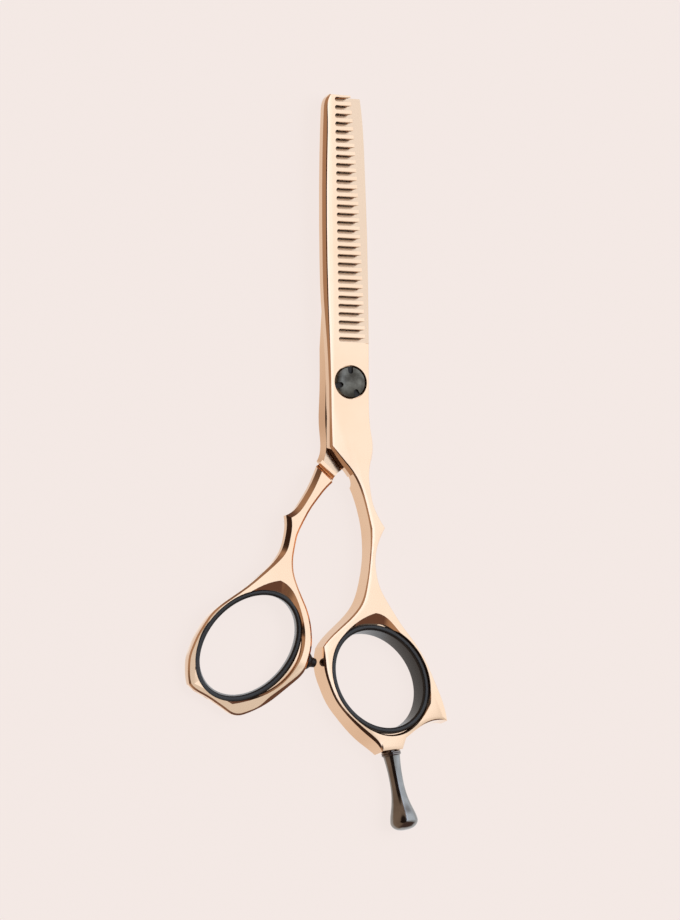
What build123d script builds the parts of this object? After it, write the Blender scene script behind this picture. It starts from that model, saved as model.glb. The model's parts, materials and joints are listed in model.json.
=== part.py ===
from build123d import *
import os
from math import atan2, degrees

# Thinning shears with offset handles, lying flat and closed.
# X: to the right, towards the finger ring.  Y: towards the blade tips.  Z: up, out of the toothed half.
# The origin is on the pivot axis, in the plane that the shears lie on.

# ---- the two halves -------------------------------------------------------------------------
STACK = 6.0                  # full thickness of the handles and of the two blades together
BLADE_GAP = 0.3              # daylight between the two ground inner faces
LOWER_FACE = (STACK - BLADE_GAP) / 2        # inner face of the straight half
UPPER_FACE = LOWER_FACE + BLADE_GAP         # inner face of the toothed half
STEP_RADIUS = STACK - LOWER_FACE            # concave run-out from the inner face up to the shank

# Outlines run counter-clockwise at the widest level, in runs from corner to corner.
# Each point is x, y and the width of the polished bevel that leads up to the top face.
FINGER_HALF_OUTLINE = [
    [(-4.9, 66.75, 0.2), (-5.85, 65.5, 0.45), (-6.35, 62.5, 0.75), (-6.6, 54.0, 0.95), (-6.6, 28.0, 0.95),
     (-6.3, 19.0, 0.9), (-5.65, 11.0, 0.55), (-5.15, 3.0, 0.35), (-4.95, -4.0, 0.28)],
    [(-4.85, -15.0, 0.5)],
    [(-1.85, -19.1, 1.0), (-0.2, -21.0, 1.0), (1.2, -23.2, 1.0), (2.4, -25.9, 0.9), (3.3, -28.7, 0.8),
     (3.9, -31.1, 0.8)],
    [(4.35, -33.7, 0.95), (4.6, -37.3, 0.65), (4.5, -40.8, 0.45), (4.1, -43.8, 0.55), (3.4, -47.1, 0.75),
     (2.2, -50.5, 1.0), (0.6, -52.9, 0.95), (-3.9, -57.4, 0.75)],
    [(-6.8, -61.1, 0.4), (-7.2, -64.1, 1.2), (-6.95, -66.9, 1.3), (-6.0, -69.7, 1.15), (-3.9, -74.1, 1.1),
     (-1.9, -76.7, 1.2), (0.6, -79.5, 1.6), (3.45, -82.1, 1.9), (6.0, -83.9, 1.6)],
    [(7.7, -85.2, 0.5)],
    [(13.0, -84.2, 0.4)],
    [(13.9, -81.6, 0.5), (16.1, -79.9, 0.6), (18.2, -78.5, 0.6), (20.9, -77.5, 0.6)],
    [(23.9, -77.4, 0.35), (23.2, -74.0, 0.4), (21.6, -69.7, 0.5)],
    [(19.9, -66.0, 0.5), (18.3, -62.8, 0.5), (15.5, -58.7, 0.5), (13.2, -55.9, 0.5), (11.2, -53.1, 0.5),
     (9.5, -50.5, 0.5), (7.6, -47.1, 0.5), (6.7, -43.9, 0.5), (6.45, -41.3, 0.5), (6.7, -38.6, 0.5),
     (7.5, -36.0, 0.5)],
    [(8.8, -33.3, 0.5), (7.2, -30.8, 0.5), (5.85, -27.8, 0.5), (5.15, -24.2, 0.5), (4.9, -21.5, 0.5),
     (5.15, -18.8, 0.5), (5.7, -14.4, 0.5), (5.2, -11.0, 0.45), (4.75, -4.1, 0.4)],
    [(4.65, 9.3, 0.3)],
    [(3.85, 9.35, 0.25), (3.35, 19.0, 0.25), (2.35, 37.6, 0.25), (1.7, 48.0, 0.25), (1.0, 57.0, 0.25)],
    [(0.15, 66.6, 0.2)],
]
# For each level: its height, its share of the bevel, and how much further in it lies.
# The last two levels are the faint crown that runs round the edge of the top face.
CROWN_HEIGHT = 0.07
CROWN_WIDTH = 0.6
FINGER_HALF_LEVELS = [(0.0, 0.0, 0.7), (0.9, 0.0, 0.0), (5.65, 0.6, 0.0), (STACK - CROWN_HEIGHT, 1.0, 0.0),
                      (STACK, 1.0, CROWN_WIDTH)]
TOOTHED_BLADE_LEVELS = [(UPPER_FACE, 0.0, 0.0), (5.2, 0.0, 0.0), (5.84, 0.75, 0.0),
                        (STACK - CROWN_HEIGHT, 1.0, 0.0), (STACK, 1.0, CROWN_WIDTH)]

THUMB_HALF_OUTLINE = [
    [(-4.6, 66.6, 0.1), (-5.4, 62.0, 0.15), (-5.6, 48.0, 0.2), (-5.6, 24.0, 0.3), (-5.6, 8.0, 0.55),
     (-5.65, -3.0, 0.65), (-5.75, -10.0, 0.7), (-5.6, -16.2, 0.6)],
    [(-7.7, -19.5, 1.15), (-9.0, -22.7, 1.15), (-10.1, -24.9, 1.15), (-11.6, -27.4, 1.15),
     (-13.2, -29.6, 1.15)],
    [(-15.6, -31.3, 1.15), (-15.4, -33.6, 1.15), (-15.8, -36.5, 1.15), (-16.6, -39.2, 1.15),
     (-18.1, -41.6, 0.8), (-21.5, -45.0, 0.53), (-24.6, -47.7, 0.4), (-28.1, -50.2, 0.4), (-31.2, -52.4, 0.4),
     (-33.3, -54.3, 0.4), (-35.1, -56.9, 0.4), (-36.5, -59.3, 0.4), (-37.6, -61.9, 0.4),
     (-38.3, -64.1, 0.4), (-38.5, -66.5, 0.4), (-38.4, -68.7, 0.4)],
    [(-38.0, -70.7, 0.4), (-37.0, -71.7, 0.4), (-34.4, -73.1, 0.4), (-31.8, -74.6, 0.4), (-29.2, -76.3, 0.4),
     (-27.9, -77.1, 0.4), (-26.2, -77.4, 0.4), (-24.0, -76.8, 0.4), (-21.4, -75.6, 0.4),
     (-18.7, -73.9, 0.9), (-16.1, -71.8, 0.8), (-13.5, -69.6, 0.7), (-11.2, -67.2, 0.6),
     (-10.2, -64.7, 0.5), (-9.4, -61.6, 0.5), (-9.3, -58.6, 0.5), (-9.6, -56.0, 0.5), (-10.5, -52.7, 0.5),
     (-12.1, -49.1, 0.5), (-13.1, -46.6, 0.5), (-13.7, -44.5, 0.5), (-13.9, -42.4, 0.5),
     (-13.8, -40.6, 0.5), (-13.4, -38.4, 0.5), (-12.9, -36.1, 0.5), (-12.0, -34.0, 0.5),
     (-10.8, -31.7, 0.5), (-9.3, -29.2, 0.5), (-7.8, -27.2, 0.5), (-6.4, -25.4, 0.5),
     (-4.2, -23.2, 0.5)],
    [(-0.8, -20.3, 0.5)],
    [(5.2, -11.2, 0.05), (5.55, -2.0, 0.05), (5.6, 12.0, 0.05), (5.45, 22.0, 0.05), (5.1, 38.0, 0.05),
     (4.7, 48.0, 0.05), (4.1, 60.0, 0.05)],
    [(3.4, 66.3, 0.05)],
]
THUMB_HALF_LEVELS = [(0.0, 0.0, 1.0), (3.9, 0.0, 0.0), (5.55, 0.0, 0.0), (STACK, 1.0, 0.0)]
STRAIGHT_BLADE_LEVELS = [(0.0, 0.5, 0.0), (0.4, 0.0, 0.0), (LOWER_FACE, 1.0, 0.0)]
# How far the underside is tucked in: the thumb shank is keel-shaped, and its ring has upright walls.
SHANK_TUCK = 1.4
THUMB_RING_TUCK = 0.4
TUCK_CHANGE = (-39.0, -47.0)         # the tuck changes over this stretch of Y

# ---- blades -----------------------------------------------------------------------------------
TOOTH_COUNT = 30
TOOTH_PITCH = 1.92
SLOT_WIDTH = 1.15
SLOT_LEAN = 3.0              # degrees; the teeth lean towards the pivot, as relief behind their edges
FIRST_SLOT_Y = 65.5          # slot nearest the tip; there is one slot below each tooth
SLOT_ROOT_TIP_X = -3.9       # bottom of the slot nearest the tip
SLOT_ROOT_HEEL_X = -2.9      # bottom of the slot nearest the pivot
TOOTH_NOTCH_DEPTH = 0.35     # V cut in the end of each tooth that holds the hair
TOOTH_NOTCH_WIDTH = 0.3
COMB_EDGE = FINGER_HALF_OUTLINE[12]         # run of the outline along the ends of the teeth
GRIND_RISE = 2.3             # how far the straight blade's outer face is ground away at its cutting edge
GRIND_WIDTH = 6.5            # width of that grind, measured from the cutting edge
GRIND_START_Y = 5.0          # the grind deepens from here
GRIND_FULL_Y = 24.0          # and is full from here to the tip
STRAIGHT_EDGE_X = -5.6
BLADE_END_Y = 100.0          # well past the tips

# ---- steps between the blades and the shanks -----------------------------------------------------
STEP_OVERLAP = 0.4           # how far a blade's plate runs on into its shank
THUMB_STEP = ((-5.7, -17.9), (-2.3, -20.9))          # foot of the run-out on the straight half
FINGER_STEP = ((-2.5, -23.1), (6.5, -16.3))          # foot of the run-out under the toothed half

# ---- finger loops ----------------------------------------------------------------------------------
# centre, long and short half-axes, and the turn of the long axis from X
FINGER_LOOP = (7.0, -68.3, 13.3, 11.2, -51.6)
THUMB_LOOP = (-23.92, -61.3, 14.7, 10.8, 46.1)
# Rim of each loop's countersink, corner to corner: x, y and how wide the slope down to the insert is
FINGER_RIM = [
    [(6.1, -52.8, 2.8), (2.6, -54.5, 2.0), (-0.7, -57.2, 1.0), (-3.3, -60.7, 0.5), (-4.4, -64.6, 0.5),
     (-4.1, -69.1, 0.5), (-2.5, -73.4, 0.5), (0.6, -77.1, 0.5), (5.0, -80.1, 0.5), (9.6, -81.3, 0.5),
     (13.4, -80.5, 0.5), (16.7, -77.9, 0.6)],
    [(19.6, -73.4, 0.8), (19.5, -69.6, 0.5), (18.0, -64.8, 0.4), (15.1, -60.4, 0.4), (11.7, -56.8, 1.2),
     (8.4, -53.6, 2.2)],
]
THUMB_RIM = [
    [(-17.0, -46.2, 2.8), (-20.5, -47.2, 2.2), (-25.7, -50.1, 0.9), (-31.0, -53.7, 0.4), (-34.7, -57.1, 0.4),
     (-36.4, -61.0, 0.5), (-36.9, -65.6, 0.8)],
    [(-37.1, -70.6, 2.4), (-33.7, -72.1, 1.9)],
    [(-27.8, -75.0, 1.1), (-23.6, -74.0, 0.8), (-17.2, -70.9, 0.6), (-13.0, -66.1, 0.5), (-11.2, -61.5, 0.6),
     (-11.1, -57.1, 0.8), (-12.2, -52.5, 1.3), (-14.3, -48.2, 2.2)],
]
RIM_DEPTH = 1.2
RIM_LEVELS = [(STACK - RIM_DEPTH, 1.0, 0.0), (STACK + 0.1, 0.0, 0.0)]
FINGER_LOOP_WALL = 1.4       # wall of the moulded insert in the finger ring
THUMB_LOOP_WALL = 1.35
INSERT_LIP = 0.5             # inserts stop this far inside the ring's faces
INSERT_CANT = 4.8            # slope of the thumb insert's top, in degrees
FINGER_LEAN = (0.16, 0.1)    # how far the finger loop's axis leans in X and Y for each millimetre up
THUMB_LEAN = (-0.2, -0.14)

# The thumb ring is canted: beyond this line its thickness falls off towards the far end.
CANT_LINE_POINT = (-32.2, -52.8)
CANT_DIRECTION = (-0.525, -0.851)
CANT_PER_MM = 0.026

# ---- pivot -------------------------------------------------------------------------------------------
SCREW_HEAD_RADIUS = 3.75
SCREW_HEAD_TOP = 6.35
SCREW_HEAD_SHOULDER = 6.0    # height of the head's rim, inside its chamfer
SCREW_CHAMFER = 0.3
SCREW_HEAD_BOTTOM = 5.05
SCREW_SHAFT_RADIUS = 2.0
RUNNING_CLEARANCE = 0.05
KEY_NOTCH_ANGLES = (92, 196, 300)
KEY_NOTCH_RADIUS = 0.6
KEY_NOTCH_REACH = 1.95       # distance of a notch's inner end from the axis
KEY_NOTCH_LENGTH = 4.2
KEY_NOTCH_DEPTH = 0.7
COUNTERBORE_RADIUS = 3.95
COUNTERBORE_FLOOR = 4.3
WASHER_RADIUS = 3.7
GLIDE_WASHER_TOP = 4.6
SPRING_WASHER_THICKNESS = 0.22
BUSH_RADIUS = 3.2
BEARING_INNER_RADIUS = 3.45
BEARING_OUTER_RADIUS = 4.8
BEARING_FLOOR = 1.7
BALL_RADIUS = 0.6
BALL_COUNT = 14
BALL_CIRCLE = 4.12
CAGE_THICKNESS = 0.6
CAGE_POCKET_CLEARANCE = 0.03

# ---- small parts ------------------------------------------------------------------------------------
BUMPER_POINT = (-10.1, -64.3)                # centre of the bumper's base on the thumb ring
BUMPER_ANGLE = -12.0                         # direction in which it points, from X
BUMPER_HEIGHT = 2.7
# radius, height above the base
BUMPER_PROFILE = [(2.0, 0.0), (1.9, 0.7), (1.25, 1.3), (1.05, 2.2), (0.7, BUMPER_HEIGHT)]
BUMPER_Z = 3.3
BUMPER_STUD_RADIUS = 0.7
BUMPER_STUD_LENGTH = 1.6

REST_SEAT = (10.75, -84.6)                   # middle of the flat at the end of the finger ring
REST_ANGLE = -78.5                           # direction of the finger rest, from X
REST_Z = 3.3
REST_COLLAR_HEIGHT = 0.9
REST_COLLAR_RADIUS = 2.25
REST_COLLAR_CHAMFER = 0.2
REST_SEAT_CLEARANCE = 0.6    # room round the collar, where the ring is cut flat for it
REST_STUD_RADIUS = 1.0
REST_STUD_LENGTH = 2.2
REST_STUD_END_GAP = 0.3      # space past the end of the stud in its hole
# length along the rest, radius
REST_PROFILE = [(0.0, 1.95), (1.6, 1.78), (4.2, 1.6), (8.0, 1.66), (11.0, 2.15), (13.8, 2.95), (15.2, 3.2)]
REST_END_LENGTH = 17.3


def thumb_tuck(y):
    """Tuck of the thumb half's underside, which fades out from the shank to the ring."""
    start, end = TUCK_CHANGE
    share = min(max((y - start) / (end - start), 0.0), 1.0)
    return SHANK_TUCK + (THUMB_RING_TUCK - SHANK_TUCK) * share


def inset_points(runs, width_of):
    """Move every point of a closed outline inwards along the bisector of its two sides."""
    points = [point for run in runs for point in run]
    moved = []
    for i, (x, y, bevel) in enumerate(points):
        before = Vector(*points[i - 1][:2])
        after = Vector(*points[(i + 1) % len(points)][:2])
        here = Vector(x, y)
        side_in = (here - before).normalized()
        side_out = (after - here).normalized()
        inward = Vector(-side_in.Y - side_out.Y, side_in.X + side_out.X).normalized()
        spread = max(inward.dot(Vector(-side_in.Y, side_in.X)), 0.6)
        moved.append(here + inward * (width_of(y, bevel) / spread))
    return moved


def outline_edges(runs, height_of, width_of):
    """One edge for each run of the outline: a line between two corners, or a smooth curve."""
    points = [Vector(p.X, p.Y, height_of(p.X, p.Y)) for p in inset_points(runs, width_of)]
    starts = [sum(len(run) for run in runs[:i]) for i in range(len(runs))]
    edges = []
    for i, start in enumerate(starts):
        end = starts[i + 1] if i + 1 < len(runs) else len(points)
        stretch = points[start:end] + [points[end % len(points)]]
        edges.append(Edge.make_line(*stretch) if len(stretch) == 2 else Edge.make_spline(stretch))
    return edges


def unchanged(*place):
    """The same everywhere, for a solid without a taper or a changing tuck."""
    return 1.0


def stacked_solid(runs, levels, tuck=unchanged, taper=unchanged):
    """Closed solid through the same outline at several levels, joined by ruled walls."""
    rings = []
    for height, bevel_share, further in levels:
        rings.append(outline_edges(runs, lambda x, y: height * taper(x, y),
                                   lambda y, bevel: bevel * bevel_share + further * tuck(y)))
    walls = [
        Face.make_surface_from_curves(low, high)
        for lower, upper in zip(rings, rings[1:])
        for low, high in zip(lower, upper)
    ]
    caps = [Face(Wire(rings[0])), Face(Wire(rings[-1]))]
    return Solid(Shell(walls + caps)).fix()


def beyond(point, direction, reach=200.0):
    """Large block that holds everything past a line, in the given direction."""
    turn = degrees(atan2(direction[1], direction[0]))
    block = Box(reach, reach, reach, align=(Align.MIN, Align.CENTER, Align.CENTER))
    return Pos(point[0], point[1], 0) * Rot(0, 0, turn) * block


def step_region(foot, past=0.0):
    """Everything past a step's foot, as seen from the pivot."""
    (x1, y1), (x2, y2) = foot
    away = Vector(y2 - y1, x1 - x2).normalized()
    start = Vector(x1, y1) + away * past
    return beyond((start.X, start.Y), (away.X, away.Y))


def step_runout(foot, height):
    """Round bar that leaves a concave run-out along a step's foot."""
    (x1, y1), (x2, y2) = foot
    turn = degrees(atan2(y2 - y1, x2 - x1))
    bar = Cylinder(STEP_RADIUS, 60, rotation=(0, 90, 0))
    return Pos((x1 + x2) / 2, (y1 + y2) / 2, height) * Rot(0, 0, turn) * bar


def ellipse_face(loop, inset, height, shift):
    x, y, long_axis, short_axis, turn = loop
    place = Pos(x + shift[0], y + shift[1], height) * Rot(0, 0, turn)
    return place * Ellipse(long_axis - inset, short_axis - inset)


def leaning_tube(loop, inset, low, high, lean):
    """Solid oval bar between two heights, whose axis may lean."""
    middle = STACK / 2
    ends = [
        ellipse_face(loop, inset, z, (lean[0] * (z - middle), lean[1] * (z - middle)))
        for z in (low, high)
    ]
    return Solid.make_loft([end.wire() for end in ends], ruled=True)


def cant(x, y):
    """Thickness of the canted thumb ring as a share of the full thickness."""
    past = (x - CANT_LINE_POINT[0]) * CANT_DIRECTION[0] + (y - CANT_LINE_POINT[1]) * CANT_DIRECTION[1]
    return 1.0 - CANT_PER_MM * past


def upright(radius, height):
    """Cylinder that stands on the plane it is placed at."""
    return Cylinder(radius, height, align=(Align.CENTER, Align.CENTER, Align.MIN))


def finger_half():
    below = step_region(FINGER_STEP)
    handle = stacked_solid(FINGER_HALF_OUTLINE, FINGER_HALF_LEVELS) & below
    handle -= step_runout(FINGER_STEP, UPPER_FACE - STEP_RADIUS)
    blade = stacked_solid(FINGER_HALF_OUTLINE, TOOTHED_BLADE_LEVELS)
    blade -= step_region(FINGER_STEP, STEP_OVERLAP)
    half = handle + blade
    half -= comb_slots()
    half -= stacked_solid(FINGER_RIM, RIM_LEVELS)
    half -= leaning_tube(FINGER_LOOP, 0, -1, STACK + 1, FINGER_LEAN)
    half -= Pos(0, 0, COUNTERBORE_FLOOR) * upright(COUNTERBORE_RADIUS, 10)
    half -= Cylinder(SCREW_SHAFT_RADIUS + RUNNING_CLEARANCE, 20)
    stud_hole = upright(REST_STUD_RADIUS + RUNNING_CLEARANCE, REST_STUD_LENGTH + 5)
    half -= finger_rest_place() * Pos(0, 0, -REST_STUD_LENGTH - REST_STUD_END_GAP) * stud_hole
    collar_room = upright(REST_COLLAR_RADIUS + REST_SEAT_CLEARANCE, 5)
    half -= finger_rest_place() * Pos(0, 0, -RUNNING_CLEARANCE) * collar_room
    return half


def comb_slots():
    """Slots of the thinning comb with round roots, and the notch in the end of each tooth."""
    cutters = []
    for i in range(TOOTH_COUNT):
        y = FIRST_SLOT_Y - i * TOOTH_PITCH
        root = SLOT_ROOT_TIP_X + (SLOT_ROOT_HEEL_X - SLOT_ROOT_TIP_X) * i / (TOOTH_COUNT - 1)
        slot = Cylinder(SLOT_WIDTH / 2, 2 * STACK)
        slot += Box(2 * STACK, SLOT_WIDTH, 2 * STACK, align=(Align.MIN, Align.CENTER, Align.CENTER))
        cutters.append(Pos(root + SLOT_WIDTH / 2, y, STACK) * Rot(SLOT_LEAN, 0, 0) * slot)
        tooth_y = y + TOOTH_PITCH / 2
        end = comb_edge_x(tooth_y)
        notch = Polygon((end - TOOTH_NOTCH_DEPTH, tooth_y), (end + 0.1, tooth_y - TOOTH_NOTCH_WIDTH / 2),
                        (end + 0.1, tooth_y + TOOTH_NOTCH_WIDTH / 2), align=None)
        cutters.append(extrude(notch, 2 * STACK))
    return cutters


def comb_edge_x(y):
    """Where the ends of the teeth lie at a given distance along the blade."""
    points = [p[:2] for p in COMB_EDGE] + [FINGER_HALF_OUTLINE[13][0][:2]]
    for (x1, y1), (x2, y2) in zip(points, points[1:]):
        if y <= y2:
            return x1 + (x2 - x1) * (y - y1) / (y2 - y1)
    return points[-1][0]


def canted_solid(runs, levels):
    """A stacked solid whose heights fall off past the cant line."""
    far_side = beyond(CANT_LINE_POINT, CANT_DIRECTION)
    near = stacked_solid(runs, levels, thumb_tuck) - far_side
    far = stacked_solid(runs, levels, thumb_tuck, cant) & far_side
    return near + far


def thumb_half():
    handle = canted_solid(THUMB_HALF_OUTLINE, THUMB_HALF_LEVELS) & step_region(THUMB_STEP)
    handle -= step_runout(THUMB_STEP, LOWER_FACE + STEP_RADIUS)
    blade = stacked_solid(THUMB_HALF_OUTLINE, STRAIGHT_BLADE_LEVELS)
    blade -= step_region(THUMB_STEP, STEP_OVERLAP)
    half = handle + blade
    half -= outer_grind()
    half -= canted_solid(THUMB_RIM, RIM_LEVELS)
    half -= leaning_tube(THUMB_LOOP, 0, -1, STACK + 1, THUMB_LEAN)
    half -= Cylinder(BUSH_RADIUS, 20)
    half -= Pos(0, 0, BEARING_FLOOR) * upright(BEARING_OUTER_RADIUS + 2 * RUNNING_CLEARANCE, 10)
    half -= bumper_place() * Pos(0, 0, -BUMPER_STUD_LENGTH) * upright(BUMPER_STUD_RADIUS, 10)
    return half


def grind_section(y, rise):
    """Section of the wedge that is ground off the underside, at one place along the blade."""
    edge_x = STRAIGHT_EDGE_X - 1.0
    far_x = STRAIGHT_EDGE_X + GRIND_WIDTH
    rise_past_edge = rise * (far_x - edge_x) / GRIND_WIDTH
    wedge = Polygon((edge_x, -1), (far_x, -1), (far_x, 0), (edge_x, rise_past_edge), align=None)
    return Pos(0, y, 0) * Rot(90, 0, 0) * wedge


def outer_grind():
    """The grind of the straight blade: it deepens gradually from the heel and then stays even to the tip."""
    heel = loft([grind_section(GRIND_START_Y, 0.01), grind_section(GRIND_FULL_Y, GRIND_RISE)])
    even = extrude(grind_section(BLADE_END_Y, GRIND_RISE), BLADE_END_Y - GRIND_FULL_Y)
    return heel + even


def bumper_place():
    return Pos(BUMPER_POINT[0], BUMPER_POINT[1], BUMPER_Z) * Rot(0, 0, BUMPER_ANGLE) * Rot(0, 90, 0)


def finger_rest_place():
    return Pos(REST_SEAT[0], REST_SEAT[1], REST_Z) * Rot(0, 0, REST_ANGLE) * Rot(0, 90, 0)


def ring_insert(loop, wall, lean):
    """Oval moulded sleeve that lines a finger loop."""
    high = STACK - INSERT_LIP
    return leaning_tube(loop, 0, INSERT_LIP, high, lean) - leaning_tube(loop, wall, -1, high + 1, lean)


def thumb_ring_insert():
    """The thumb ring's sleeve, whose top is canted with the ring."""
    sleeve = ring_insert(THUMB_LOOP, THUMB_LOOP_WALL, THUMB_LEAN)
    turn = degrees(atan2(CANT_DIRECTION[1], CANT_DIRECTION[0]))
    near_x = THUMB_LOOP[0] - CANT_DIRECTION[0] * THUMB_LOOP[2]
    near_y = THUMB_LOOP[1] - CANT_DIRECTION[1] * THUMB_LOOP[2]
    above = Rot(0, INSERT_CANT, 0) * Box(100, 100, 20, align=(Align.CENTER, Align.CENTER, Align.MIN))
    return sleeve - Pos(near_x, near_y, STACK - INSERT_LIP) * Rot(0, 0, turn) * above


def pivot_screw():
    """Domed head with three key notches, on a plain shaft."""
    low_rim = SCREW_HEAD_SHOULDER - SCREW_CHAMFER
    face_radius = SCREW_HEAD_RADIUS - SCREW_CHAMFER
    dome = Spline((face_radius, SCREW_HEAD_SHOULDER), (0, SCREW_HEAD_TOP), tangents=[(-1, 0.25), (-1, 0)])
    sides = Polyline((0, SCREW_HEAD_TOP), (0, SCREW_HEAD_BOTTOM), (SCREW_HEAD_RADIUS, SCREW_HEAD_BOTTOM),
                     (SCREW_HEAD_RADIUS, low_rim), (face_radius, SCREW_HEAD_SHOULDER))
    head = revolve(Rot(90, 0, 0) * make_face([dome, sides]), Axis.Z)
    notch = SlotOverall(KEY_NOTCH_LENGTH, KEY_NOTCH_RADIUS * 2)
    for angle in KEY_NOTCH_ANGLES:
        middle = KEY_NOTCH_REACH + KEY_NOTCH_LENGTH / 2
        place = Rot(0, 0, angle) * Pos(middle, 0, SCREW_HEAD_TOP - KEY_NOTCH_DEPTH)
        head -= place * extrude(notch, 2)
    return head + upright(SCREW_SHAFT_RADIUS, SCREW_HEAD_BOTTOM + 0.1)


def spring_washer():
    """Disc spring under the screw head."""
    inner = SCREW_SHAFT_RADIUS + 0.2
    low = GLIDE_WASHER_TOP + RUNNING_CLEARANCE
    high = SCREW_HEAD_BOTTOM - SPRING_WASHER_THICKNESS
    section = Polygon((inner, high), (inner, high + SPRING_WASHER_THICKNESS),
                      (WASHER_RADIUS, low + SPRING_WASHER_THICKNESS), (WASHER_RADIUS, low), align=None)
    return revolve(Rot(90, 0, 0) * section, Axis.Z)


def glide_washer():
    washer = upright(WASHER_RADIUS, GLIDE_WASHER_TOP - COUNTERBORE_FLOOR)
    return Pos(0, 0, COUNTERBORE_FLOOR) * washer - Cylinder(SCREW_SHAFT_RADIUS + RUNNING_CLEARANCE, 20)


def pivot_bush():
    """Threaded bush pressed into the straight half; the screw turns in it."""
    bush = upright(BUSH_RADIUS, LOWER_FACE)
    return bush - Cylinder(SCREW_SHAFT_RADIUS + RUNNING_CLEARANCE, 20)


def ball_places():
    height = UPPER_FACE - RUNNING_CLEARANCE - BALL_RADIUS
    return [Rot(0, 0, 360 / BALL_COUNT * i) * Pos(BALL_CIRCLE, 0, height) for i in range(BALL_COUNT)]


def bearing_balls():
    return Compound([place * Sphere(BALL_RADIUS) for place in ball_places()])


def bearing_cage():
    middle = UPPER_FACE - RUNNING_CLEARANCE - BALL_RADIUS
    cage = upright(BEARING_OUTER_RADIUS, CAGE_THICKNESS) - upright(BEARING_INNER_RADIUS, CAGE_THICKNESS)
    cage = Pos(0, 0, middle - CAGE_THICKNESS / 2) * cage
    for place in ball_places():
        cage -= place * Cylinder(BALL_RADIUS + CAGE_POCKET_CLEARANCE, 3)
    return cage


def bearing_race():
    """Hardened ring at the bottom of the bearing recess, on which the balls roll."""
    top = UPPER_FACE - 2 * RUNNING_CLEARANCE - 2 * BALL_RADIUS
    ring = upright(BEARING_OUTER_RADIUS, top - BEARING_FLOOR) - upright(BUSH_RADIUS + RUNNING_CLEARANCE, 3)
    return Pos(0, 0, BEARING_FLOOR) * ring


def bumper():
    """Rubber stop with a rounded tip and a stud that is pushed into the thumb ring."""
    section = make_face(Polyline((0, 0), *BUMPER_PROFILE, (0, BUMPER_HEIGHT), (0, 0)))
    body = revolve(Rot(90, 0, 0) * section, Axis.Z)
    stud = Pos(0, 0, -BUMPER_STUD_LENGTH) * upright(BUMPER_STUD_RADIUS, BUMPER_STUD_LENGTH + 0.2)
    return bumper_place() * (body + stud)


def finger_rest():
    """Flared black finger rest with a rounded end and a threaded stud."""
    start = REST_COLLAR_HEIGHT
    along = [(radius, start + length) for length, radius in REST_PROFILE]
    end = start + REST_END_LENGTH
    side = Spline(*along)
    dome = Spline(along[-1], (0, end), tangents=[(0.1, 1), (-1, 0)])
    section = make_face([side, dome, Polyline((0, end), (0, start), along[0])])
    body = revolve(Rot(90, 0, 0) * section, Axis.Z)
    stud = Pos(0, 0, -REST_STUD_LENGTH) * upright(REST_STUD_RADIUS, REST_STUD_LENGTH + start + 0.1)
    return finger_rest_place() * (body + stud)


def finger_rest_collar():
    ring = upright(REST_COLLAR_RADIUS, REST_COLLAR_HEIGHT)
    ring = chamfer(ring.edges().group_by(Axis.Z)[-1], REST_COLLAR_CHAMFER)
    return finger_rest_place() * (ring - Cylinder(REST_STUD_RADIUS + RUNNING_CLEARANCE, 10))


def write(name, shape):
    export_step(shape, f"parts/{name}.step")


def main():
    os.makedirs("parts", exist_ok=True)
    write("finger_half", finger_half())
    write("thumb_half", thumb_half())
    write("finger_ring_insert", ring_insert(FINGER_LOOP, FINGER_LOOP_WALL, FINGER_LEAN))
    write("thumb_ring_insert", thumb_ring_insert())
    write("bumper", bumper())
    write("finger_rest", finger_rest())
    write("finger_rest_collar", finger_rest_collar())
    write("pivot_screw", pivot_screw())
    write("spring_washer", spring_washer())
    write("glide_washer", glide_washer())
    write("pivot_bush", pivot_bush())
    write("bearing_balls", bearing_balls())
    write("bearing_cage", bearing_cage())
    write("bearing_race", bearing_race())


main()
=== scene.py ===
"""Closed thinning shears in polished rose gold, finished around the frame of their solid parts."""
import json
import math

import bmesh
import bpy
from mathutils import Matrix, Vector


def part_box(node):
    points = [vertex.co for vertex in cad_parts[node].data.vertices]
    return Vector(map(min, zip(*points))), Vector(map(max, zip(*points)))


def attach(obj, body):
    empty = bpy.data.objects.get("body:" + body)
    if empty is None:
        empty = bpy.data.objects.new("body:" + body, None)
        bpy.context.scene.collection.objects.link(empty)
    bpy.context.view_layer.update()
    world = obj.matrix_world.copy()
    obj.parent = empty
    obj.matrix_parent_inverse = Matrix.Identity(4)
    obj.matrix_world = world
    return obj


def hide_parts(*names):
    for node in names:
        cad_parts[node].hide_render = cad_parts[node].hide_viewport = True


MM = 0.001


def rgb(r, g, b):
    return (r, g, b, 1.0)


# ---- edges and surfaces --------------------------------------------------------------------------
MERGE_DISTANCE = 1e-6
FLAT_ANGLE = math.radians(0.1)       # neighbouring facets closer than this are one flat face
CREASE_ANGLE = math.radians(11)      # edges of the halves sharper than this stay creases
SCREW_CREASE = math.radians(25)
COLLAR_CREASE = math.radians(30)
REST_CREASE = math.radians(35)
SLEEVE_CREASE = math.radians(40)
BUMPER_CREASE = math.radians(50)
EDGE_ROUND = 0.07 * MM               # polishing leaves every edge very slightly round
FITTING_EDGE_ROUND = 0.09 * MM
EDGE_SEGMENTS = 2
UPRIGHT = 0.5                        # a wall's normal rises or falls by less than this
FACES_UP = 0.9                       # a top face's normal rises by more than this
FACES_OUTWARDS = 0.9                 # the normal of a blade's outer side runs along X by more than this

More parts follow.
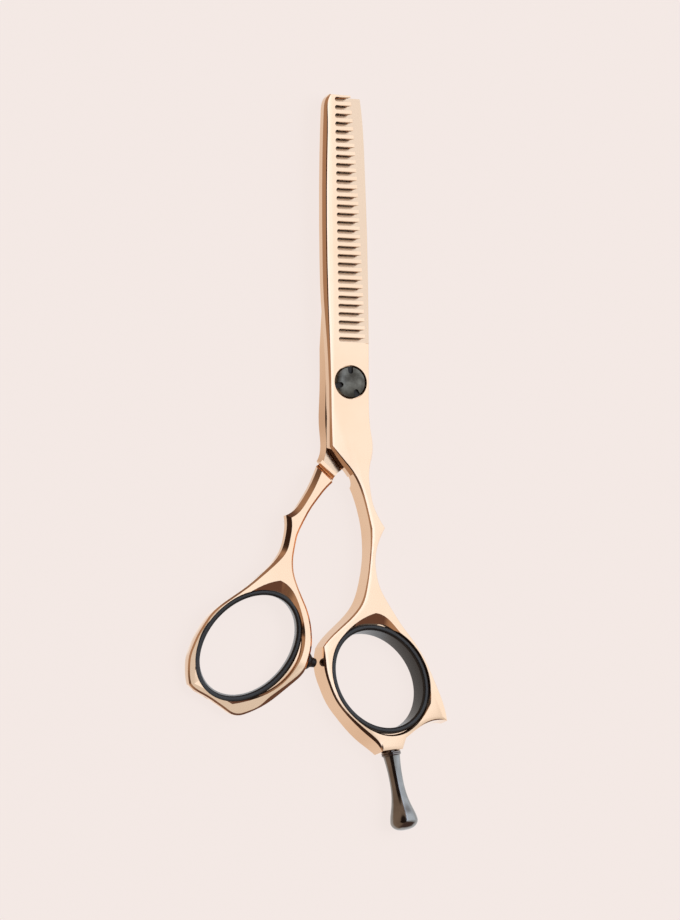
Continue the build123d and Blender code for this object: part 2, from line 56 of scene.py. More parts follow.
# ---- ring sleeves, in millimetres ----------------------------------------------------------------
# long and short half-axes, turn of the long axis from X in degrees, wall, lean in X and Y per millimetre up
FINGER_SLEEVE = {"axes": (13.3, 11.2), "turn": -51.6, "wall": 1.4, "lean": (0.16, 0.1)}
THUMB_SLEEVE = {"axes": (14.7, 10.8), "turn": 46.1, "wall": 1.35, "lean": (-0.2, -0.14)}
SLEEVE_STEPS = 160
LIP_ROUND = 0.55
FOOT_ROUND = 0.3
CORNER_STEPS = 6
LAYOUT_RADIUS = 1.0                  # in metres: the profile is spun here, then laid onto the oval
THUMB_CANT_DIRECTION = Vector((-0.525, -0.851)).normalized()
THUMB_CANT_SLOPE = math.tan(math.radians(4.8))

# ---- blades, in millimetres ----------------------------------------------------------------------
COMB_ROOT_X = -4.3
COMB_END_Y = 9.2
COMB_TIP_Y = 66.3
GROUND_FACE_Y = -17.0

# ---- key notches in the screw's head, in millimetres ---------------------------------------------
NOTCH_START = 1.9
NOTCH_END = 3.7
NOTCH_LOWEST = 5.3
NOTCH_FLOOR = 5.75

# ---- finger rest and its collar, in millimetres --------------------------------------------------
REST_PROFILE = [(0.0, 1.95), (1.6, 1.78), (4.2, 1.6), (8.0, 1.66), (11.0, 2.15), (13.8, 2.95), (15.2, 3.2)]
REST_LENGTH = 17.3
REST_CURVE_STEPS = 5
REST_DOME_STEPS = 16
REST_DOME_FULLNESS = 0.8             # below 1 is fuller than a round dome
STUD_RADIUS = 1.0
STUD_DEPTH = 1.5
COLLAR_HEIGHT = 0.9
COLLAR_RADIUS = 2.25
COLLAR_BORE = STUD_RADIUS + 0.05
# height up the collar, and how far the surface lies inside its radius: chamfers at the ends, groove between
COLLAR_PROFILE = [(0.0, 0.1), (0.12, 0.0), (0.34, 0.0), (0.42, 0.12), (0.5, 0.0), (0.72, 0.0), (0.9, 0.18)]

# ---- bumper, in millimetres ----------------------------------------------------------------------
BUMPER_ANGLE = -12.0                 # degrees from X
BUMPER_PROFILE = [(0.0, 2.0), (0.35, 1.98), (0.7, 1.85), (1.0, 1.55), (1.3, 1.25), (1.7, 1.13), (2.2, 1.05)]
BUMPER_HEIGHT = 2.7
BUMPER_CURVE_STEPS = 3
BUMPER_DOME_STEPS = 8
BUMPER_STUD_RADIUS = 0.7
BUMPER_STUD_DEPTH = 0.6
BUMPER_TIP_BAND = 0.01               # vertices this close to the farthest one make up the tip
LATHE_STEPS = 96
BUMPER_LATHE_STEPS = 48

# ---- colours of the finishes ---------------------------------------------------------------------
GOLD_DEEP = rgb(0.93, 0.64, 0.43)
GOLD_LIGHT = rgb(0.95, 0.67, 0.46)
GOLD_WORN = rgb(0.9, 0.74, 0.6)
GROUND_DEEP = rgb(0.79, 0.565, 0.39)
GROUND_LIGHT = rgb(0.82, 0.59, 0.415)
# the next three are painted shade for the slot walls: near black at the roots, brown towards the tooth tips,
# where the narrow slots and the gap between the blades lie in shade
SLOT_ROOT_SHADE = rgb(0.012, 0.005, 0.003)
SLOT_MIDDLE_SHADE = rgb(0.1, 0.035, 0.02)
SLOT_TIP_SHADE = rgb(0.2, 0.09, 0.055)
MOULDING_DARK = rgb(0.016, 0.0155, 0.0155)
MOULDING_LIGHT = rgb(0.03, 0.029, 0.029)
RUBBER_DARK = rgb(0.016, 0.013, 0.013)
RUBBER_DUSTY = rgb(0.05, 0.04, 0.037)

# ---- painted shade on the slot walls, in millimetres: distances along X and heights --------------
SHADE_ROOT_TO_MIDDLE = (-3.4, -1.2)
SHADE_MIDDLE_TO_TIP = (-0.6, 3.2)
SHADE_ROOT_ZONE = (-1.8, -3.2)
SHADE_ROOT_RISE = 1.2                # how much higher the painted shade reaches at the roots
SHADE_TO_POLISHED = (3.9, 4.6)

# ---- floor and lamp, in metres -------------------------------------------------------------------
FLOOR_REACH = 6.0                    # from the middle to an edge
FLOOR_DROP = 0.0001                  # keeps the floor just clear of the shears
FLOOR_COLOUR = rgb(0.08, 0.0717, 0.0686)
FLOOR_GLOW = rgb(0.858, 0.7755, 0.7435)
LAMP_POSITION = (1.3, 0.1, 2.5)
LAMP_SIZE = 1.6
LAMP_POWER = 16

# ---- studio --------------------------------------------------------------------------------------
# light colours, and where one gives way to the next, by direction: x right, y to the blade tips, z up
BACKDROP = rgb(0.913, 0.823, 0.791)
KEY_LIGHT = rgb(1.1, 1.2, 1.34)
HOT_EDGE = rgb(1.3, 1.48, 1.8)
KEY_FOOT = rgb(0.75, 0.79, 0.83)
LOW_RIGHT_LIGHT = rgb(0.95, 0.95, 0.97)
LOW_LEFT_LIGHT = rgb(0.8, 0.74, 0.7)
DIM_ROOM = rgb(0.4, 0.27, 0.19)
SIDE_ROOM = rgb(0.13, 0.075, 0.06)
DARK_CEILING = rgb(0.035, 0.02, 0.015)
TOWARDS_CAMERA = (-0.34, -0.12, 0.93)
CEILING_AROUND_CAMERA = (0.8, 0.9)
LOW_LEFT_Z = (-0.42, -0.78)
HOT_EDGE_X = (0.28, 0.16)
KEY_FOOT_Y = (0.08, -0.13)
KEY_END_Y = (-0.15, -0.42)
LOW_RIGHT_Z = (0.1, -0.3)
BOX_X = (0.0, 0.09)
FAR_ENDS_Y = (0.5, 0.7)
FAR_ENDS_Z = (-0.55, -0.1)
FAR_ENDS_X = (-0.5, -0.1)

# ---- camera, in metres ---------------------------------------------------------------------------
CAMERA_SIDE_TILT = math.radians(20)
CAMERA_FOOT_TILT = math.radians(7)
CAMERA_DISTANCE = 2.5
FRAME_HEIGHT = 211.494 * MM
FRAME_OFFSET = (-0.42 * MM, -17.17 * MM)     # middle of the view, right and up from the pivot
SENSOR = 36.0
CLIP_START = 0.05
CLIP_END = 20.0

# ---- sockets of a colour mix, which share their names with its number and vector sockets ---------
MIX_SHARE = 0
MIX_LOW = 6
MIX_HIGH = 7
MIX_RESULT = 2

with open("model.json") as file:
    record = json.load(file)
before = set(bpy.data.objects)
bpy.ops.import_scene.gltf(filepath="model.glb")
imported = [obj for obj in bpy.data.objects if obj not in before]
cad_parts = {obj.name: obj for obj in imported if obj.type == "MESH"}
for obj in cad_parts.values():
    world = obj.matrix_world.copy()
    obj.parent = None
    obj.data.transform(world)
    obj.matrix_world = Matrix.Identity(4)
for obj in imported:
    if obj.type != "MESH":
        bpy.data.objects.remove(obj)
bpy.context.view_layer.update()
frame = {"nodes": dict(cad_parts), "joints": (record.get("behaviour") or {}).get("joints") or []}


class Term:
    """A number that varies over a surface: wraps a socket, so that shader maths reads as arithmetic."""

    def __init__(self, tree, socket):
        self.tree = tree
        self.socket = socket

    def made(self, operation, *values, clamp=False):
        node = self.tree.nodes.new("ShaderNodeMath")
        node.operation = operation
        node.use_clamp = clamp
        for socket, value in zip(node.inputs, values):
            if isinstance(value, Term):
                self.tree.links.new(value.socket, socket)
            else:
                socket.default_value = value
        return Term(self.tree, node.outputs[0])

    def __add__(self, other):
        return self.made("ADD", self, other)

    def __radd__(self, other):
        return self.made("ADD", other, self)

    def __sub__(self, other):
        return self.made("SUBTRACT", self, other)

    def __rsub__(self, other):
        return self.made("SUBTRACT", other, self)

    def __mul__(self, other):
        return self.made("MULTIPLY", self, other)

    def __rmul__(self, other):
        return self.made("MULTIPLY", other, self)

    def __abs__(self):
        return self.made("ABSOLUTE", self)

    def ramp(self, low, high):
        """0 below low and 1 above high, smooth between them; low may be the larger one."""
        straight = self.made("MULTIPLY_ADD", self, 1 / (high - low), -low / (high - low), clamp=True)
        return straight * straight * (3 - 2 * straight)


class Recipe:
    """Builds one node tree."""

    def __init__(self, tree):
        self.tree = tree
        tree.nodes.clear()

    def node(self, kind, settings=None, inputs=None):
        node = self.tree.nodes.new(kind)
        for name, value in (settings or {}).items():
            setattr(node, name, value)
        for name, value in (inputs or {}).items():
            self.feed(node.inputs[name], value)
        return node

    def feed(self, socket, value):
        if isinstance(value, Term):
            self.tree.links.new(value.socket, socket)
        elif isinstance(value, bpy.types.NodeSocket):
            self.tree.links.new(value, socket)
        else:
            socket.default_value = value

    def term(self, socket):
        return Term(self.tree, socket)

    def parts(self, vector):
        """The X, Y and Z of a vector, as numbers."""
        split = self.node("ShaderNodeSeparateXYZ", None, {"Vector": vector})
        return [self.term(socket) for socket in split.outputs]

    def noise(self, vector, scale=1.0, detail=3.0, roughness=0.5):
        texture = self.node("ShaderNodeTexNoise", None,
                            {"Vector": vector, "Scale": scale, "Detail": detail, "Roughness": roughness})
        return self.term(texture.outputs["Fac"])

    def stretched(self, vector, scale, turn=0.0):
        """A vector scaled by axis, after a turn about Z in degrees."""
        mapping = self.node("ShaderNodeMapping", None,
                            {"Vector": vector, "Scale": scale, "Rotation": (0.0, 0.0, math.radians(turn))})
        return mapping.outputs["Vector"]

    def blended(self, share, low, high):
        mix = self.node("ShaderNodeMix", {"data_type": "RGBA"})
        self.feed(mix.inputs[MIX_SHARE], share)
        self.feed(mix.inputs[MIX_LOW], low)
        self.feed(mix.inputs[MIX_HIGH], high)
        return mix.outputs[MIX_RESULT]


class Finish(Recipe):
    """One procedural material around a Principled shader."""

    def __init__(self, name):
        self.material = bpy.data.materials.new(name)
        self.material.use_nodes = True
        super().__init__(self.material.node_tree)
        self.place = self.node("ShaderNodeTexCoord").outputs["Object"]
        self.shader = self.node("ShaderNodeBsdfPrincipled")
        output = self.node("ShaderNodeOutputMaterial")
        self.tree.links.new(self.shader.outputs[0], output.inputs["Surface"])

    def set(self, **values):
        for name, value in values.items():
            self.feed(self.shader.inputs[name.replace("_", " ")], value)

    def bump(self, height, depth):
        node = self.node("ShaderNodeBump", None, {"Height": height, "Distance": depth, "Strength": 1.0})
        self.tree.links.new(node.outputs[0], self.shader.inputs["Normal"])


# ---- finishes ------------------------------------------------------------------------------------
def polished_gold(name):
    """Mirror-polished rose gold coating, with faint buffing marks and hairline wear."""
    finish = Finish(name)
    cloudy = finish.noise(finish.place, scale=90, detail=2)
    buffing = finish.noise(finish.stretched(finish.place, (5200, 260, 5200)), detail=4, roughness=0.6)
    hairlines = finish.noise(finish.stretched(finish.place, (3800, 90, 3800), turn=24), detail=2)
    worn = hairlines.ramp(low=0.72, high=0.78)
    tone = finish.blended(cloudy.ramp(low=0.3, high=0.7), GOLD_DEEP, GOLD_LIGHT)
    finish.set(Base_Color=finish.blended(worn * 0.35, tone, GOLD_WORN), Metallic=1.0,
               Roughness=0.085 + cloudy * 0.03 + buffing * 0.035 + worn * 0.12)
    finish.bump(buffing + worn * 0.4, depth=0.0022 * MM)
    return finish.material


def slot_metal(name):
    """Walls of the comb's slots: polished above, and painted shade low down and round the roots, near black
    to brown, where the gap between the blades and the narrow slots lie in shade.
    """
    finish = Finish(name)
    along_x, _, along_z = finish.parts(finish.place)
    outwards = along_x * (1 / MM)
    upwards = along_z * (1 / MM)
    grain = finish.noise(finish.stretched(finish.place, (500, 9000, 9000)))
    # painted shade along the slots: darkest at the roots, lighter brown towards the tooth tips
    painted_shade = finish.blended(outwards.ramp(*SHADE_ROOT_TO_MIDDLE), SLOT_ROOT_SHADE, SLOT_MIDDLE_SHADE)
    painted_shade = finish.blended(outwards.ramp(*SHADE_MIDDLE_TO_TIP), painted_shade, SLOT_TIP_SHADE)
    # the painted shade covers the lower part of each wall and reaches higher at the roots; polished gold
    # above it
    polish = (upwards - outwards.ramp(*SHADE_ROOT_ZONE) * SHADE_ROOT_RISE).ramp(*SHADE_TO_POLISHED)
    finish.set(Base_Color=finish.blended(polish, painted_shade, GOLD_DEEP), Metallic=polish,
               Roughness=0.6 - polish * 0.45 + grain * 0.05, Specular_IOR_Level=0.1)
    finish.bump(grain, depth=0.004 * MM)
    return finish.material


def ground_gold(name):
    """Ground inner face of the straight blade, darker, less coloured and duller than the polish."""
    finish = Finish(name)
    cloudy = finish.noise(finish.place, scale=120, detail=2)
    grind = finish.noise(finish.stretched(finish.place, (700, 16000, 700), turn=12), roughness=0.6)
    finish.set(Base_Color=finish.blended(cloudy, GROUND_DEEP, GROUND_LIGHT), Metallic=1.0,
               Roughness=0.14 + grind * 0.1)
    finish.bump(grind, depth=0.002 * MM)
    return finish.material


def gloss_moulding(name):
    """Black moulded plastic of the ring sleeves."""
    finish = Finish(name)
    flow = finish.noise(finish.place, scale=260, detail=4)
    grain = finish.noise(finish.place, scale=5200, detail=2)
    finish.set(Base_Color=finish.blended(flow, MOULDING_DARK, MOULDING_LIGHT),
               Roughness=0.2 + flow * 0.1 + grain * 0.05)
    finish.bump(grain, depth=0.004 * MM)
    return finish.material


def bumper_rubber(name):
    """Satin black rubber with a little dust on it."""
    finish = Finish(name)
    grain = finish.noise(finish.place, scale=4200, detail=5)
    dust = finish.noise(finish.place, scale=700).ramp(low=0.55, high=0.8)
    finish.set(Base_Color=finish.blended(dust * 0.5, RUBBER_DARK, RUBBER_DUSTY),
               Roughness=0.38 + grain * 0.15)
    finish.bump(grain, depth=0.01 * MM)
    return finish.material


def mirror_metal(name, dark, light, roughness):
    """Mirror-smooth metal, with turning marks too fine to see one by one."""
    finish = Finish(name)
    cloudy = finish.noise(finish.place, scale=300).ramp(low=0.35, high=0.65)
    fine = finish.noise(finish.place, scale=9000)
    finish.set(Base_Color=finish.blended(cloudy, dark, light), Metallic=1.0,
               Roughness=roughness + cloudy * 0.05 + fine * 0.05)
    finish.bump(fine, depth=0.002 * MM)
    return finish.material


def satin_metal(name, dark, light, roughness):
    """Turned or ground metal with a satin grain."""
    finish = Finish(name)
    grain = finish.noise(finish.stretched(finish.place, (2500, 2500, 200)), detail=4, roughness=0.6)
    spots = finish.noise(finish.place, scale=500)
    finish.set(Base_Color=finish.blended(spots, dark, light), Metallic=1.0,
               Roughness=roughness + grain * 0.12)
    finish.bump(grain, depth=0.006 * MM)
    return finish.material


def dull_polymer(name, dark, light):
    """Plain moulded polymer, lightly mottled."""
    finish = Finish(name)
    mottle = finish.noise(finish.place, scale=900, detail=4)
    finish.set(Base_Color=finish.blended(mottle, dark, light), Roughness=0.42 + mottle * 0.12)
    finish.bump(mottle, depth=0.01 * MM)
    return finish.material


# ---- pieces --------------------------------------------------------------------------------------
def piece(name, bm, material, body, *nodes, slot):
    """Makes a finished object of a bmesh, in place of CAD nodes."""
    mesh = bpy.data.meshes.new(name)
    bm.to_mesh(mesh)
    bm.free()
    made = bpy.data.objects.new(name, mesh)
    bpy.context.scene.collection.objects.link(made)
    mesh.materials.append(material)
    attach(made, body)
    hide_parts(*nodes)
    return made


def crease(bm, angle):
    """Smooth shading, but for the edges that are sharper than an angle."""
    for face in bm.faces:
        face.smooth = True
    for edge in bm.edges:
        edge.smooth = len(edge.link_faces) == 2 and edge.calc_face_angle() < angle


def merged_copy(node):
    """Copy of a CAD node's surface as one connected skin, with whole flat faces."""
    bm = bmesh.new()
    bm.from_mesh(frame["nodes"][node].data)
    bmesh.ops.remove_doubles(bm, verts=bm.verts, dist=MERGE_DISTANCE)
    bmesh.ops.dissolve_limit(bm, angle_limit=FLAT_ANGLE, verts=bm.verts, edges=bm.edges)
    return bm


def softened(made, width, angle):
    """Rounds every crease of a piece by a hair."""
    bevel = made.modifiers.new("edges", "BEVEL")
    bevel.width = width
    bevel.segments = EDGE_SEGMENTS
    bevel.limit_method = "ANGLE"
    bevel.angle_limit = angle
    bevel.harden_normals = True
    return made


def two_finish_copy(node, name, body, slot, angle, materials, finish_of):
    """Creased copy of a CAD node with two finishes; finish_of gives the number of a face's finish."""
    bm = merged_copy(node)
    crease(bm, angle)
    for face in bm.faces:
        face.material_index = finish_of(face)
    made = piece(name, bm, materials[0], body, node, slot=slot)
    made.data.materials.append(materials[1])
    return made


def gold_half(node, name, body, materials, finish_of):
    """One half of the shears."""
    made = two_finish_copy(node, name, body, "rose_gold", CREASE_ANGLE, materials, finish_of)
    return softened(made, EDGE_ROUND, CREASE_ANGLE)


def comb_finish(face):
    """1 for the walls of the comb's slots, and 0 elsewhere."""
    middle = face.calc_center_median() / MM
    in_comb = COMB_END_Y < middle.y < COMB_TIP_Y and middle.x > COMB_ROOT_X
    return 1 if in_comb and abs(face.normal.z) < UPRIGHT and face.normal.x < FACES_OUTWARDS else 0


def straight_finish(face):
    """1 for the ground inner face of the straight blade, and 0 elsewhere."""
    middle = face.calc_center_median() / MM
    return 1 if middle.y > GROUND_FACE_Y and face.normal.z > FACES_UP else 0


def spun(points, steps, closed=False):
    """Turned shape about the Z axis from a profile of radius and height, in metres."""
    bm = bmesh.new()
    verts = [bm.verts.new((radius, 0.0, height)) for radius, height in points]
    for first, second in zip(verts, verts[1:]):
        bm.edges.new((first, second))
    if closed:
        bm.edges.new((verts[-1], verts[0]))
    bmesh.ops.spin(bm, geom=bm.verts[:] + bm.edges[:], cent=(0, 0, 0), axis=(0, 0, 1), dvec=(0, 0, 0),
                   angle=2 * math.pi, steps=steps, use_merge=True)
    bmesh.ops.remove_doubles(bm, verts=bm.verts, dist=MERGE_DISTANCE)
    bmesh.ops.recalc_face_normals(bm, faces=bm.faces)
    return bm


def corner(x, z, radius, start):
    """Quarter-circle about a centre, from a start angle in degrees."""
    angles = [math.radians(start + 90 * i / CORNER_STEPS) for i in range(CORNER_STEPS + 1)]
    return [(x + radius * math.cos(a), z + radius * math.sin(a)) for a in angles]


def sleeve(node, name, body, shape, material, cant=None):
    """Oval moulded sleeve with a rounded lip, leaning like the hole it lines."""
    low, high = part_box(node)
    middle = (low + high) / 2
    bottom, top = low.z, high.z
    lip, foot = LIP_ROUND * MM, FOOT_ROUND * MM
    outer = LAYOUT_RADIUS
    inner = outer - shape["wall"] * MM
    outline = corner(inner + foot, bottom + foot, foot, 180)
    outline += corner(outer - foot, bottom + foot, foot, 270)
    outline += corner(outer - lip, top - lip, lip, 0)
    outline += corner(inner + lip, top - lip, lip, 90)
    bm = spun(outline, SLEEVE_STEPS, closed=True)
    turn = Matrix.Rotation(math.radians(shape["turn"]), 2)
    long_axis, short_axis = (half * MM for half in shape["axes"])
    # Distances inside the layout radius become distances inside the oval, so that the wall is even.
    for vert in bm.verts:
        angle = math.atan2(vert.co.y, vert.co.x)
        inward = outer - vert.co.xy.length
        on_oval = Vector((long_axis * math.cos(angle), short_axis * math.sin(angle)))
        outward = Vector((math.cos(angle) / long_axis, math.sin(angle) / short_axis)).normalized()
        flat = turn @ (on_oval - outward * inward)
        rise = vert.co.z - middle.z
        x = middle.x + flat.x + shape["lean"][0] * rise
        y = middle.y + flat.y + shape["lean"][1] * rise
        vert.co = (x, y, vert.co.z)
    if cant:
        cant(bm, bottom, top)
    crease(bm, SLEEVE_CREASE)
    return piece(name, bm, material, body, node, slot="black_insert")


def thumb_cant(bm, bottom, top):
    """Lowers the thumb sleeve's lip towards the ring's far end, as the ring's own face falls."""
    along = [vert.co.xy.dot(THUMB_CANT_DIRECTION) for vert in bm.verts]
    start = min(along)
    for vert, distance in zip(bm.verts, along):
        share = (vert.co.z - bottom) / (top - bottom)
        vert.co.z -= share * (distance - start) * THUMB_CANT_SLOPE


def along_axis(bm, start, axis):
    """Moves a shape that was turned about Z, so that it stands at a point and points along an axis."""
    turn = Vector((0, 0, 1)).rotation_difference(axis)
    bmesh.ops.transform(bm, matrix=Matrix.Translation(start) @ turn.to_matrix().to_4x4(), verts=bm.verts)


def smooth_profile(points, steps):
    """Points on a smooth curve through a profile's points."""
    curve = []
    padded = [points[0]] + points + [points[-1]]
    for i in range(1, len(padded) - 2):
        p0, p1, p2, p3 = (Vector(p) for p in padded[i - 1:i + 3])
        for k in range(steps):
            t = k / steps
            curve.append(0.5 * (2 * p1 + (p2 - p0) * t + (2 * p0 - 5 * p1 + 4 * p2 - p3) * t * t
                                + (3 * p1 - p0 - 3 * p2 + p3) * t ** 3))
    return [tuple(p) for p in curve] + [points[-1]]


def dome(radius, base, top, steps, fullness=1.0):
    """Profile of a rounded end, from its rim up to its middle."""
    angles = [math.pi / 2 * i / steps for i in range(1, steps + 1)]
    return [(radius * math.cos(a) ** fullness, base + (top - base) * math.sin(a)) for a in angles]


def in_metres(points):
    return [(radius * MM, height * MM) for radius, height in points]


def rest_axis():
    """Direction in which the finger rest comes off."""
    joint = next(j for j in frame["joints"] if j["name"] == "finger_rest_withdraw")
    return Vector(joint["axis"]).normalized()


def rest_seat():
    """Point on the ring's flat where the finger rest's collar starts."""
    low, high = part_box("finger_rest_collar")
    return (low + high) / 2 - rest_axis() * (COLLAR_HEIGHT / 2 * MM)


def finger_rest(material):
    """Flared finger rest on its stud."""
    curve = smooth_profile(REST_PROFILE, REST_CURVE_STEPS)
    side = [(radius, COLLAR_HEIGHT + length) for length, radius in curve]
    last_radius, last_height = side[-1]
    end = dome(last_radius, last_height, COLLAR_HEIGHT + REST_LENGTH, REST_DOME_STEPS, REST_DOME_FULLNESS)
    stud = [(0.0, -STUD_DEPTH), (STUD_RADIUS, -STUD_DEPTH), (STUD_RADIUS, COLLAR_HEIGHT)]
    bm = spun(in_metres(stud + side + end), LATHE_STEPS)
    along_axis(bm, rest_seat(), rest_axis())
    crease(bm, REST_CREASE)
    made = piece("finger_rest_turned", bm, material, "finger_rest", "finger_rest", slot="black_metal")
    return softened(made, FITTING_EDGE_ROUND, REST_CREASE)


def rest_collar(material):
    """Grooved collar between the finger rest and the ring."""
    side = [(COLLAR_RADIUS - inside, height) for height, inside in COLLAR_PROFILE]
    points = [(COLLAR_BORE, 0.0)] + side + [(COLLAR_BORE, COLLAR_HEIGHT)]
    bm = spun(in_metres(points), LATHE_STEPS, closed=True)
    along_axis(bm, rest_seat(), rest_axis())
    crease(bm, COLLAR_CREASE)
    return piece("finger_rest_collar_turned", bm, material, "finger_rest", "finger_rest_collar",
                 slot="grey_metal")


def bumper(material):
    """Moulded stop that points from the thumb ring to the finger ring."""
    angle = math.radians(BUMPER_ANGLE)
    axis = Vector((math.cos(angle), math.sin(angle), 0))
    across = Vector((-axis.y, axis.x, 0))
    low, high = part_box("bumper")
    # The tip is where the CAD node reaches farthest along the axis.
    verts = frame["nodes"]["bumper"].data.vertices
    reach = max(vert.co.dot(axis) for vert in verts)
    tip = [vert.co.dot(across) for vert in verts if vert.co.dot(axis) > reach - BUMPER_TIP_BAND * MM]
    start = axis * (reach - BUMPER_HEIGHT * MM) + across * ((min(tip) + max(tip)) / 2)
    start.z = (low.z + high.z) / 2
    side = [(radius, length) for length, radius in smooth_profile(BUMPER_PROFILE, BUMPER_CURVE_STEPS)]
    last_radius, last_height = side[-1]
    end = dome(last_radius, last_height, BUMPER_HEIGHT, BUMPER_DOME_STEPS)
    stud = [(0.0, -BUMPER_STUD_DEPTH), (BUMPER_STUD_RADIUS, -BUMPER_STUD_DEPTH), (BUMPER_STUD_RADIUS, 0.0)]
    bm = spun(in_metres(stud + side + end), BUMPER_LATHE_STEPS)
    along_axis(bm, start, axis)
    crease(bm, BUMPER_CREASE)
    return piece("bumper_moulded", bm, material, "thumb_side", "bumper", slot="black_rubber")


def notch_shade_faces(face):
    """1 for the floors and walls of the key notches in the screw's head, which are painted near black as
    shade, and 0 elsewhere.
    """
    middle = face.calc_center_median() / MM
    in_head = NOTCH_START < middle.xy.length < NOTCH_END and middle.z > NOTCH_LOWEST
    return 1 if in_head and (middle.z < NOTCH_FLOOR or abs(face.normal.z) < UPRIGHT) else 0


def screw(materials):
    """Tension screw whose key notches are painted near black as shade."""
    made = two_finish_copy("pivot_screw", "pivot_screw_polished", "tension_screw", "screw_metal",
                           SCREW_CREASE, materials, notch_shade_faces)
    return softened(made, FITTING_EDGE_ROUND, SCREW_CREASE)


# ---- stage ---------------------------------------------------------------------------------------
def studio_world():
    """A studio as polished metal sees it.

    A soft box, brightest along its left edge, reaches from overhead down to the right. It is dark around the
    camera and far along the shears, and dim on the left, with a pale wall low down.
    """
    world = bpy.data.worlds.new("studio")
    world.use_nodes = True
    bpy.context.scene.world = world
    recipe = Recipe(world.node_tree)
    direction = recipe.node("ShaderNodeTexCoord").outputs["Generated"]
    x, y, z = recipe.parts(direction)
    around_camera = x * TOWARDS_CAMERA[0] + y * TOWARDS_CAMERA[1] + z * TOWARDS_CAMERA[2]
    room = recipe.blended(z.ramp(*LOW_LEFT_Z), DIM_ROOM, LOW_LEFT_LIGHT)
    room = recipe.blended(around_camera.ramp(*CEILING_AROUND_CAMERA), room, DARK_CEILING)
    box = recipe.blended(x.ramp(*HOT_EDGE_X), KEY_LIGHT, HOT_EDGE)
    box = recipe.blended(y.ramp(*KEY_FOOT_Y), box, KEY_FOOT)
    box = recipe.blended(y.ramp(*KEY_END_Y), box, SIDE_ROOM)
    box = recipe.blended(z.ramp(*LOW_RIGHT_Z), box, LOW_RIGHT_LIGHT)
    colour = recipe.blended(x.ramp(*BOX_X), room, box)
    far_ends = abs(y).ramp(*FAR_ENDS_Y) * z.ramp(*FAR_ENDS_Z) * x.ramp(*FAR_ENDS_X)
    colour = recipe.blended(far_ends, colour, SIDE_ROOM)
    seen = recipe.node("ShaderNodeLightPath").outputs["Is Camera Ray"]
    colour = recipe.blended(seen, colour, BACKDROP)
    background = recipe.node("ShaderNodeBackground", None, {"Color": colour, "Strength": 1.0})
    output = recipe.node("ShaderNodeOutputWorld")
    recipe.tree.links.new(background.outputs[0], output.inputs["Surface"])


def floor():
    """Pale floor that is lit mostly by its own glow, so that it stays an even colour."""
    bm = bmesh.new()
    bmesh.ops.create_grid(bm, x_segments=1, y_segments=1, size=FLOOR_REACH)
    bmesh.ops.translate(bm, vec=(0, 0, -FLOOR_DROP), verts=bm.verts)
    mesh = bpy.data.meshes.new("floor")
    bm.to_mesh(mesh)
    bm.free()
    made = bpy.data.objects.new("floor", mesh)
    bpy.context.scene.collection.objects.link(made)
    material = bpy.data.materials.new("pale_paper")
    material.use_nodes = True
    recipe = Recipe(material.node_tree)
    matt = recipe.node("ShaderNodeBsdfDiffuse", None, {"Color": FLOOR_COLOUR})
    glow = recipe.node("ShaderNodeEmission", None, {"Color": FLOOR_GLOW, "Strength": 1.0})
    both = recipe.node("ShaderNodeAddShader")
    recipe.tree.links.new(matt.outputs[0], both.inputs[0])
    recipe.tree.links.new(glow.outputs[0], both.inputs[1])
    output = recipe.node("ShaderNodeOutputMaterial")
    recipe.tree.links.new(both.outputs[0], output.inputs["Surface"])
    mesh.materials.append(material)
    made.visible_glossy = False


def soft_light():
    """Large round lamp, aimed at the pivot and hidden from the camera and from reflections."""
    lamp = bpy.data.lights.new("soft_key", "AREA")
    lamp.shape = "DISK"
    lamp.size = LAMP_SIZE
    lamp.energy = LAMP_POWER
    made = bpy.data.objects.new("soft_key", lamp)
    bpy.context.scene.collection.objects.link(made)
    made.location = LAMP_POSITION
    made.rotation_euler = Vector(LAMP_POSITION).to_track_quat("Z", "Y").to_euler()
    made.visible_camera = False
    made.visible_glossy = False


def camera():
    """Looks down at the shears, tilted to the side and to the foot."""
    side, foot = CAMERA_SIDE_TILT, CAMERA_FOOT_TILT
    right = Vector((math.cos(side), 0, math.sin(side)))
    up = Vector((-math.sin(side) * math.sin(foot), math.cos(foot), math.cos(side) * math.sin(foot)))
    back = right.cross(up)
    data = bpy.data.cameras.new("camera")
    data.sensor_fit = "VERTICAL"
    data.sensor_height = SENSOR
    data.sensor_width = SENSOR
    data.lens = SENSOR * CAMERA_DISTANCE / FRAME_HEIGHT
    data.clip_start = CLIP_START
    data.clip_end = CLIP_END
    made = bpy.data.objects.new("camera", data)
    bpy.context.scene.collection.objects.link(made)
    target = right * FRAME_OFFSET[0] + up * FRAME_OFFSET[1]
    turn = Matrix((right, up, back)).transposed().to_4x4()
    made.matrix_world = Matrix.Translation(target + back * CAMERA_DISTANCE) @ turn
    bpy.context.scene.camera = made


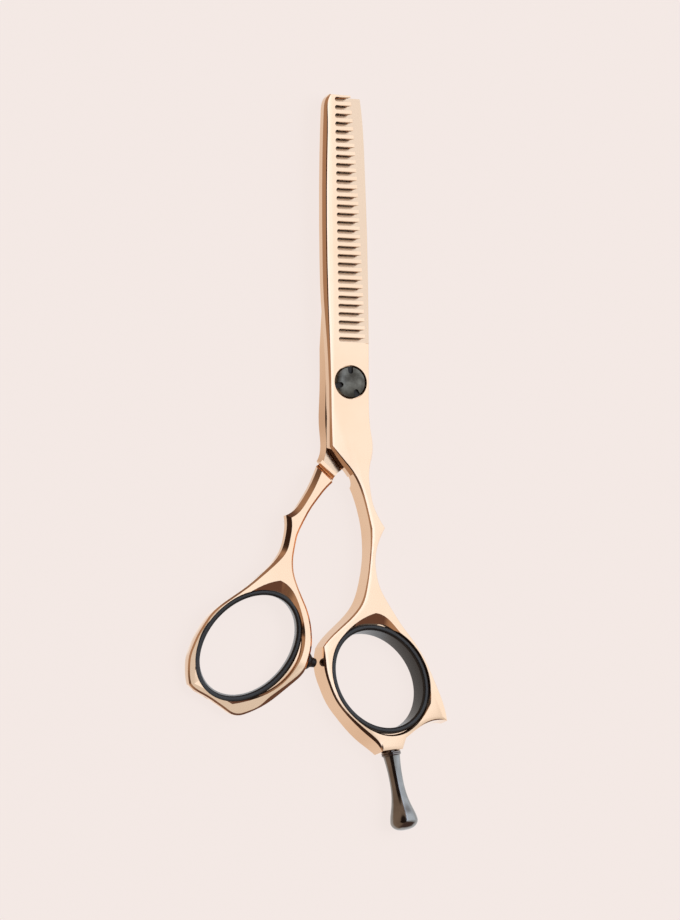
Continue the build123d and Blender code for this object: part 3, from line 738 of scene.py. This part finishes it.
def seen_pieces():
    """The pieces that show, each remade with its finish."""
    gold = polished_gold("rose_gold_polish")
    gold_half("finger_half", "finger_half_polished", "finger_side", (gold, slot_metal("slot_walls")),
              comb_finish)
    gold_half("thumb_half", "thumb_half_polished", "thumb_side", (gold, ground_gold("ground_inner_face")),
              straight_finish)
    moulding = gloss_moulding("black_gloss_moulding")
    sleeve("finger_ring_insert", "finger_ring_sleeve", "finger_side", FINGER_SLEEVE, moulding)
    sleeve("thumb_ring_insert", "thumb_ring_sleeve", "thumb_side", THUMB_SLEEVE, moulding, thumb_cant)
    finger_rest(mirror_metal("black_chrome_rest", rgb(0.28, 0.272, 0.258), rgb(0.35, 0.34, 0.322),
                             roughness=0.1))
    rest_collar(satin_metal("dark_satin_collar", rgb(0.2, 0.17, 0.155), rgb(0.3, 0.27, 0.25), roughness=0.22))
    bumper(bumper_rubber("bumper_rubber"))
    head = mirror_metal("black_chrome_screw", rgb(0.06, 0.052, 0.042), rgb(0.19, 0.175, 0.145),
                        roughness=0.16)
    # the notch floors and walls get a near-black painted shade in place of the shade inside the deep notches
    screw((head, dull_polymer("notch_shade", rgb(0.012, 0.009, 0.008), rgb(0.03, 0.022, 0.02))))


def hidden_pieces():
    """The pieces inside the pivot, which keep their CAD surfaces."""
    finishes = {
        "spring_washer": satin_metal("spring_steel", rgb(0.5, 0.5, 0.5), rgb(0.62, 0.62, 0.62),
                                     roughness=0.25),
        "glide_washer": dull_polymer("glide_polymer", rgb(0.78, 0.78, 0.75), rgb(0.88, 0.88, 0.86)),
        "pivot_bush": satin_metal("turned_brass", rgb(0.68, 0.47, 0.2), rgb(0.78, 0.58, 0.28), roughness=0.2),
        "bearing_balls": mirror_metal("ball_steel", rgb(0.68, 0.68, 0.69), rgb(0.76, 0.76, 0.77),
                                      roughness=0.05),
        "bearing_cage": dull_polymer("cage_polymer", rgb(0.1, 0.1, 0.11), rgb(0.16, 0.16, 0.17)),
        "bearing_race": satin_metal("race_steel", rgb(0.45, 0.45, 0.46), rgb(0.6, 0.6, 0.61), roughness=0.2),
    }
    for node, material in finishes.items():
        mesh = frame["nodes"][node].data
        mesh.materials.clear()
        mesh.materials.append(material)


def main():
    seen_pieces()
    hidden_pieces()
    floor()
    studio_world()
    soft_light()
    camera()
    bpy.context.scene.view_settings.view_transform = "Standard"


main()
